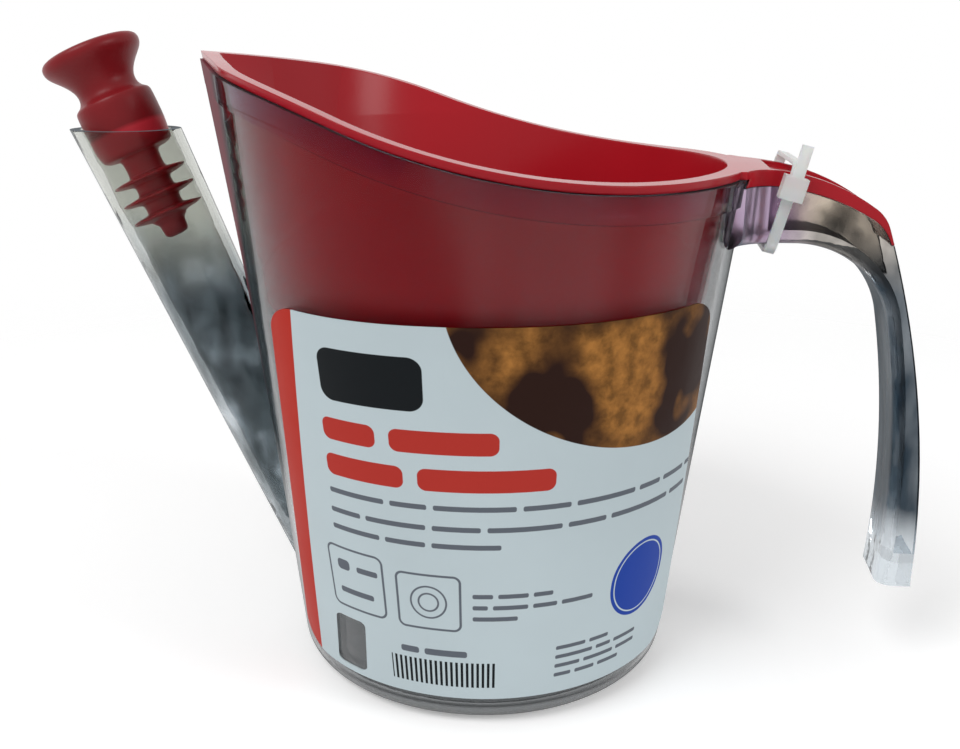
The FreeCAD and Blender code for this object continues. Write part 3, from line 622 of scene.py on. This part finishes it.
def soft_red(name, tint, plug):
    """Satin rubber-like plastic of the stopper, a brighter red on the plug inside the spout."""
    mix = Mixer(name)
    place = mix.place()
    cloud = mix.spread(mix.noise(place, 60.0, 3.0), 0.3, 0.7, 0.0, 1.0)
    tone = mix.blend(cloud, shade(tint, 0.8), tint)
    axis = Vector((-math.sin(SPOUT_TILT), 0, math.cos(SPOUT_TILT)))
    rim = MOUTH.dot(axis)
    inner = mix.spread(mix.dot(place, axis), rim - 0.001, rim, 1.0, 0.0)
    tone = mix.blend(inner, tone, plug)
    fine = mix.noise(place, 1600.0, 3.0)
    mix.set(Base_Color=tone, Roughness=mix.spread(cloud, 0.0, 1.0, 0.3, 0.4))
    mix.set(Specular_IOR_Level=0.2, Normal=mix.bump(fine, 0.00005, 0.6))
    return mix.material


def nylon(name):
    """Milky natural nylon."""
    mix = Mixer(name)
    place = mix.place()
    cloud = mix.noise(place, 300.0, 2.0)
    tone = mix.blend(cloud, (0.80, 0.83, 0.82), (0.95, 0.96, 0.95))
    mix.set(Base_Color=tone, Roughness=0.3, Transmission_Weight=0.45, IOR=1.45)
    mix.set(Subsurface_Weight=0.25, Subsurface_Scale=0.002)
    mix.set(Normal=mix.bump(cloud, 0.00004))
    return mix.material


def box_group():
    """Node group: how far a point lies outside a round-cornered box, in millimetres."""
    group = bpy.data.node_groups.new("Printed box", "ShaderNodeTree")
    for label in ("Across", "Up", "Centre across", "Centre up", "Half across", "Half up", "Corner"):
        group.interface.new_socket(label, in_out="INPUT", socket_type="NodeSocketFloat")
    group.interface.new_socket("Outside", in_out="OUTPUT", socket_type="NodeSocketFloat")
    taken = group.nodes.new("NodeGroupInput").outputs
    given = group.nodes.new("NodeGroupOutput").inputs
    box = Graph(group)
    reach = []
    for way in ("Across", "Up"):
        centre, half = taken[f"Centre {way.lower()}"], taken[f"Half {way.lower()}"]
        away = box.maths("ABSOLUTE", box.maths("SUBTRACT", taken[way], centre))
        reach.append(box.maths("ADD", box.maths("SUBTRACT", away, half), taken["Corner"]))
    over = [box.maths("MAXIMUM", side, 0.0) for side in reach]
    squares = [box.maths("MULTIPLY", side, side) for side in over]
    length = box.maths("SQRT", box.maths("ADD", *squares))
    inner = box.maths("MINIMUM", box.maths("MAXIMUM", *reach), 0.0)
    outside = box.maths("SUBTRACT", box.maths("ADD", length, inner), taken["Corner"])
    box.link(outside, given["Outside"])
    return group


class Print(Mixer):
    """Label material: printed shapes laid over each other, in millimetres on the label."""

    def __init__(self, name, look):
        super().__init__(name)
        self.box = box_group()
        place = self.place()
        angle = self.maths("ARCTAN2", self.axis(place, "Y"), self.axis(place, "X"))
        degrees = self.maths("MULTIPLY", angle, 180 / math.pi)
        turned_by = self.maths("SUBTRACT", degrees, look.facing)
        self.across = self.maths("MULTIPLY", turned_by, look.girth)
        self.up = self.maths("MULTIPLY", self.axis(place, "Z"), 1000.0)
        self.ink = None

    def outside(self, centre, half, corner):
        """Distance outside a round-cornered box."""
        node = self.tree.nodes.new("ShaderNodeGroup")
        node.node_tree = self.box
        numbers = (self.across, self.up, *centre, *half, corner)
        for value, socket in zip(numbers, node.inputs):
            self.put(value, socket)
        return node.outputs[0]

    def inside(self, distance, edge=0.12):
        """1 inside a shape, 0 outside, with a soft printed edge."""
        return self.maths("MULTIPLY_ADD", distance, -1.0 / edge, 0.5, clamp=True)

    def lay(self, mask, tint):
        """Prints a tint over all that is there."""
        self.ink = self.blend(mask, self.ink, tint)

    def bar(self, centre, half, corner, tint):
        self.lay(self.inside(self.outside(centre, half, corner)), tint)

    def outline(self, centre, half, corner, width, tint):
        edge = self.maths("ABSOLUTE", self.outside(centre, half, corner))
        self.lay(self.inside(self.maths("SUBTRACT", edge, width / 2)), tint)

    def back(self, place):
        """1 on the side that faces the jug."""
        normal = self.tree.nodes.new("ShaderNodeNewGeometry").outputs["True Normal"]
        return self.maths("LESS_THAN", self.dot(place, normal), 0.0)

    def bars(self, left, height, thick, lengths, gap, tint):
        """A row of plain bars with rounded ends."""
        for length in lengths:
            centre, half = (left + length / 2, height), (length / 2, thick / 2)
            self.bar(centre, half, thick * 0.35, tint)
            left += length + gap


def label_print(look):
    """Printed film: a warm panel, a dark plate, rows of bars, two boxes and an oval badge."""
    art = Print("label_print", look)
    place = art.place()
    mottled = art.spread(art.noise(place, 30.0), 0.3, 0.7, 0.0, 1.0)
    art.ink = art.blend(mottled, shade(look.paper, 0.94), look.paper)
    # warm panel, an ellipse that runs off the upper right corner
    squares = []
    for way, centre, half in zip((art.across, art.up), PANEL_CENTRE, PANEL_HALF):
        share = art.maths("DIVIDE", art.maths("SUBTRACT", way, centre), half)
        squares.append(art.maths("MULTIPLY", share, share))
    far = art.maths("SQRT", art.maths("ADD", *squares))
    grain = art.spread(art.noise(place, 320.0, 4.0, 0.6), 0.35, 0.65, 0.0, 1.0)
    warm = art.blend(grain, shade(look.warm, 0.4), look.warm)
    patches = art.spread(art.noise(place, 62.0, 2.0, 0.45), 0.44, 0.60, 0.0, 1.0)
    panel = art.maths("MULTIPLY", art.maths("SUBTRACT", far, 1.0), PANEL_RADIUS)
    art.lay(art.inside(panel), art.blend(patches, look.dark, warm))
    # band down the left side
    slope = art.maths("MULTIPLY_ADD", art.up, BAND_SLOPE, BAND_EDGE)
    art.lay(art.inside(art.maths("SUBTRACT", art.across, slope)), look.band)
    # plate and rows of bars
    art.bar(*PLATE, look.plate)
    for row in WIDE_ROWS:
        art.bars(*row, look.wide_bars)
    for row in THIN_ROWS:
        art.bars(*row, look.thin_bars)
    # two outlined boxes, with two rings in the second
    for box in OUTLINED_BOXES:
        art.outline(*box, 0.5, look.thin_bars)
    for radius in RING_RADII:
        art.outline(OUTLINED_BOXES[1][0], (radius, radius), radius, 0.4, look.thin_bars)
    # badge
    art.bar(*BADGE, look.badge)
    art.outline(*BADGE_LINE, 0.3, look.paper)
    # striped block at the foot
    stripes = art.maths("FRACT", art.maths("MULTIPLY", art.across, 0.9))
    even = art.maths("GREATER_THAN", stripes, 0.5)
    block = art.inside(art.outside(*STRIPED_BLOCK))
    art.lay(art.maths("MULTIPLY", even, block), look.plate)
    # bare paper towards the jug
    art.lay(art.back(place), look.paper)
    creases = art.noise(place, 55.0, 3.0, 0.45)
    art.set(Base_Color=art.ink, Roughness=art.spread(mottled, 0.0, 1.0, 0.42, 0.52))
    art.set(Specular_IOR_Level=0.08, Normal=art.bump(creases, 0.0009, 0.35))
    return art.material


def backdrop(name, tint, lift):
    """Pale paper that fades into the white surroundings."""
    mix = Mixer(name)
    place = mix.place()
    tone = mix.blend(mix.noise(place, 40.0), shade(tint, 0.985), tint)
    mix.set(Base_Color=tone, Roughness=0.9, Specular_IOR_Level=0.1, Emission_Color=WHITE[:3])
    mix.set(Emission_Strength=mix.maths("MULTIPLY", mix.seen_ray(), lift))
    far = mix.tree.nodes.new("ShaderNodeVectorMath")
    far.operation = "LENGTH"
    mix.link(place, far.inputs[0])
    fade = mix.spread(far.outputs["Value"], *FLOOR_FADE, 0.0, 1.0)
    clear = mix.tree.nodes.new("ShaderNodeBsdfTransparent").outputs[0]
    paper = mix.mix_shaders(fade, mix.shader.outputs[0], clear)
    mix.link(paper, mix.tree.nodes["Material Output"].inputs["Surface"])
    return mix.material


# Operators: one for each piece, and one for the stage

class SEPARATOR_OT_clear_jug(bpy.types.Operator):
    """Joins jug, spout and handle into one clear moulding"""
    bl_idname = "separator.clear_jug"
    bl_label = "Clear jug"

    def execute(self, context):
        look = context.scene.separator_clear
        jug = merged_copy("jug_shell", "clear_jug")
        materials = [
            clear_plastic("clear_wall", look.wall, look, WALL_WAVE),
            clear_plastic("clear_lip", look.lip, look, LIP_WAVE),
            spout_plastic("clear_spout", look),
            handle_plastic("clear_handle", look),
        ]
        wall, lip, spout, handle = range(len(materials))
        dress(jug, *materials)
        use_slot(jug, wall)
        tree = surface_of(jug)
        for node, slot in (("spout_tube", spout), ("handle", handle)):
            part = merged_copy(node, f"{node}_part")
            dress(part, *materials)
            use_slot(part, slot)
            sink_into(part, tree, look.sink)
            union = jug.modifiers.new(node, "BOOLEAN")
            union.operation = "UNION"
            union.solver = "EXACT"
            union.object = part
            apply_modifiers(jug)
            bpy.data.objects.remove(part)
        for face in jug.data.polygons:
            spots = [jug.data.vertices[number].co for number in face.vertices]
            drops = [brim_height(spot.x) - BRIM_DROP - spot.z for spot in spots]
            if face.material_index == wall and max(drops) < COLLAR + COLLAR_SLACK:
                face.material_index = lip
        smooth(jug, 40)
        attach(jug, "jug")
        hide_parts("jug_shell", "spout_tube", "handle")
        return {"FINISHED"}


class SEPARATOR_OT_strainer(bpy.types.Operator):
    """Gives the strainer its glossy red plastic"""
    bl_idname = "separator.strainer"
    bl_label = "Strainer"

    def execute(self, context):
        look = context.scene.separator_red
        plastic = red_plastic("insert_plastic", look.insert, look.edge)
        dress(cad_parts["strainer_insert"], plastic)
        return {"FINISHED"}


class SEPARATOR_OT_stopper(bpy.types.Operator):
    """Turns the spout's stopper with its flared knob and sealing fins"""
    bl_idname = "separator.stopper"
    bl_label = "Stopper"

    def execute(self, context):
        look = context.scene.separator_red
        rings = list(STUB_RINGS)
        for depth in FIN_DEPTHS:
            rings += fin_rings(depth)
        rings += KNOB_RINGS
        stopper = turned("stopper", rings, look.segments)
        finer = stopper.modifiers.new("smooth", "SUBSURF")
        finer.levels = finer.render_levels = 1
        apply_modifiers(stopper)
        stopper.rotation_euler = (0, -SPOUT_TILT, 0)
        stopper.location = MOUTH
        settle(stopper)
        smooth(stopper, 50)
        dress(stopper, soft_red("stopper_rubber", look.stopper, look.plug))
        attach(stopper, "stopper")
        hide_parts("spout_stopper")
        return {"FINISHED"}


class SEPARATOR_OT_label(bpy.types.Operator):
    """Prints the label"""
    bl_idname = "separator.label"
    bl_label = "Label"

    def execute(self, context):
        dress(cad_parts["label"], label_print(context.scene.separator_label))
        return {"FINISHED"}


class SEPARATOR_OT_tie(bpy.types.Operator):
    """Rounds the cable tie and gives it its milky nylon"""
    bl_idname = "separator.tie"
    bl_label = "Cable tie"

    def execute(self, context):
        tie = merged_copy("cable_tie", "tie")
        bpy.ops.object.mode_set(mode="EDIT")
        bpy.ops.mesh.select_all(action="SELECT")
        bpy.ops.transform.shrink_fatten(value=-TIE_THINNER)
        bpy.ops.object.mode_set(mode="OBJECT")
        bevel = tie.modifiers.new("edges", "BEVEL")
        bevel.width = TIE_EDGE
        bevel.segments = 2
        bevel.limit_method = "ANGLE"
        bevel.angle_limit = math.radians(50)
        apply_modifiers(tie)
        smooth(tie, 40)
        dress(tie, nylon("tie_nylon"))
        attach(tie, "jug")
        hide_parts("cable_tie")
        return {"FINISHED"}


class SEPARATOR_OT_studio(bpy.types.Operator):
    """Sets floor, light and camera"""
    bl_idname = "separator.studio"
    bl_label = "Studio"

    def execute(self, context):
        scene = context.scene
        look = scene.separator_studio
        deselect()
        bpy.ops.mesh.primitive_grid_add(
            x_subdivisions=4, y_subdivisions=4, size=FLOOR_SIZE, location=(0, 0, 0)
        )
        floor = context.object
        floor.name = floor.data.name = "floor"
        dress(floor, backdrop("floor_paper", look.floor, look.lift))
        scene.world = scene.world or bpy.data.worlds.new("studio")
        scene.world.use_nodes = True
        sky = Graph(scene.world.node_tree)
        sky.tree.nodes.clear()
        light = sky.mix_shaders(sky.seen_ray(), sky.white_light(look.world), sky.white_light(1.0))
        sky.link(light, sky.tree.nodes.new("ShaderNodeOutputWorld").inputs["Surface"])
        lamp("key", *KEY_LAMP, look.key)
        lamp("side", *SIDE_LAMP, look.side)
        scene.camera = photo_camera()
        scene.view_settings.view_transform = "Standard"
        return {"FINISHED"}


def lamp(name, place, target, width, power):
    """Round soft lamp that points at a target."""
    data = bpy.data.lights.new(name, "AREA")
    data.shape = "DISK"
    data.size = width
    data.energy = power
    piece = bpy.data.objects.new(name, data)
    piece.location = place
    piece.rotation_euler = (Vector(target) - Vector(place)).to_track_quat("-Z", "Y").to_euler()
    bpy.context.scene.collection.objects.link(piece)


def photo_camera():
    """Camera at the photograph's place and angle."""
    data = bpy.data.cameras.new("camera")
    data.sensor_width = CAMERA_SENSOR
    data.lens = CAMERA_LENS
    data.shift_x, data.shift_y = CAMERA_SHIFT
    data.clip_start = CAMERA_NEAR
    east, north, level = math.sin(CAMERA_YAW), math.cos(CAMERA_YAW), math.cos(CAMERA_PITCH)
    forward = Vector((east * level, north * level, -math.sin(CAMERA_PITCH)))
    right = Vector((north, -east, 0))
    upward = right.cross(forward)
    turn = Matrix((right, upward, -forward)).transposed()
    turn = turn @ Matrix.Rotation(CAMERA_ROLL, 3, "Z")
    piece = bpy.data.objects.new("camera", data)
    piece.matrix_world = Matrix.Translation(CAMERA_PLACE) @ turn.to_4x4()
    bpy.context.scene.collection.objects.link(piece)
    return piece


class SEPARATOR_PT_panel(bpy.types.Panel):
    """Buttons and settings of the separator"""
    bl_idname = "SEPARATOR_PT_panel"
    bl_label = "Fat separator"
    bl_space_type = "VIEW_3D"
    bl_region_type = "UI"
    bl_category = "Separator"

    def draw(self, context):
        layout = self.layout
        for group in GROUPS:
            box = layout.box()
            settings = getattr(context.scene, group)
            for key in GROUPS[group].__annotations__:
                box.prop(settings, key)
        for step in STEPS:
            layout.operator(step.bl_idname)


GROUPS = {
    "separator_clear": ClearPlasticLook,
    "separator_red": RedLook,
    "separator_label": LabelLook,
    "separator_studio": StudioLook,
}
STEPS = (
    SEPARATOR_OT_clear_jug,
    SEPARATOR_OT_strainer,
    SEPARATOR_OT_stopper,
    SEPARATOR_OT_label,
    SEPARATOR_OT_tie,
    SEPARATOR_OT_studio,
)
CLASSES = (*GROUPS.values(), *STEPS, SEPARATOR_PT_panel)


def register():
    for item in CLASSES:
        bpy.utils.register_class(item)
    for name, group in GROUPS.items():
        setattr(bpy.types.Scene, name, PointerProperty(type=group))


def unregister():
    for name in GROUPS:
        delattr(bpy.types.Scene, name)
    for item in reversed(CLASSES):
        bpy.utils.unregister_class(item)


def main():
    """Builds all pieces and the stage."""
    register()
    bpy.ops.separator.clear_jug()
    bpy.ops.separator.strainer()
    bpy.ops.separator.stopper()
    bpy.ops.separator.label()
    bpy.ops.separator.tie()
    bpy.ops.separator.studio()


if __name__ == "__main__":
    main()
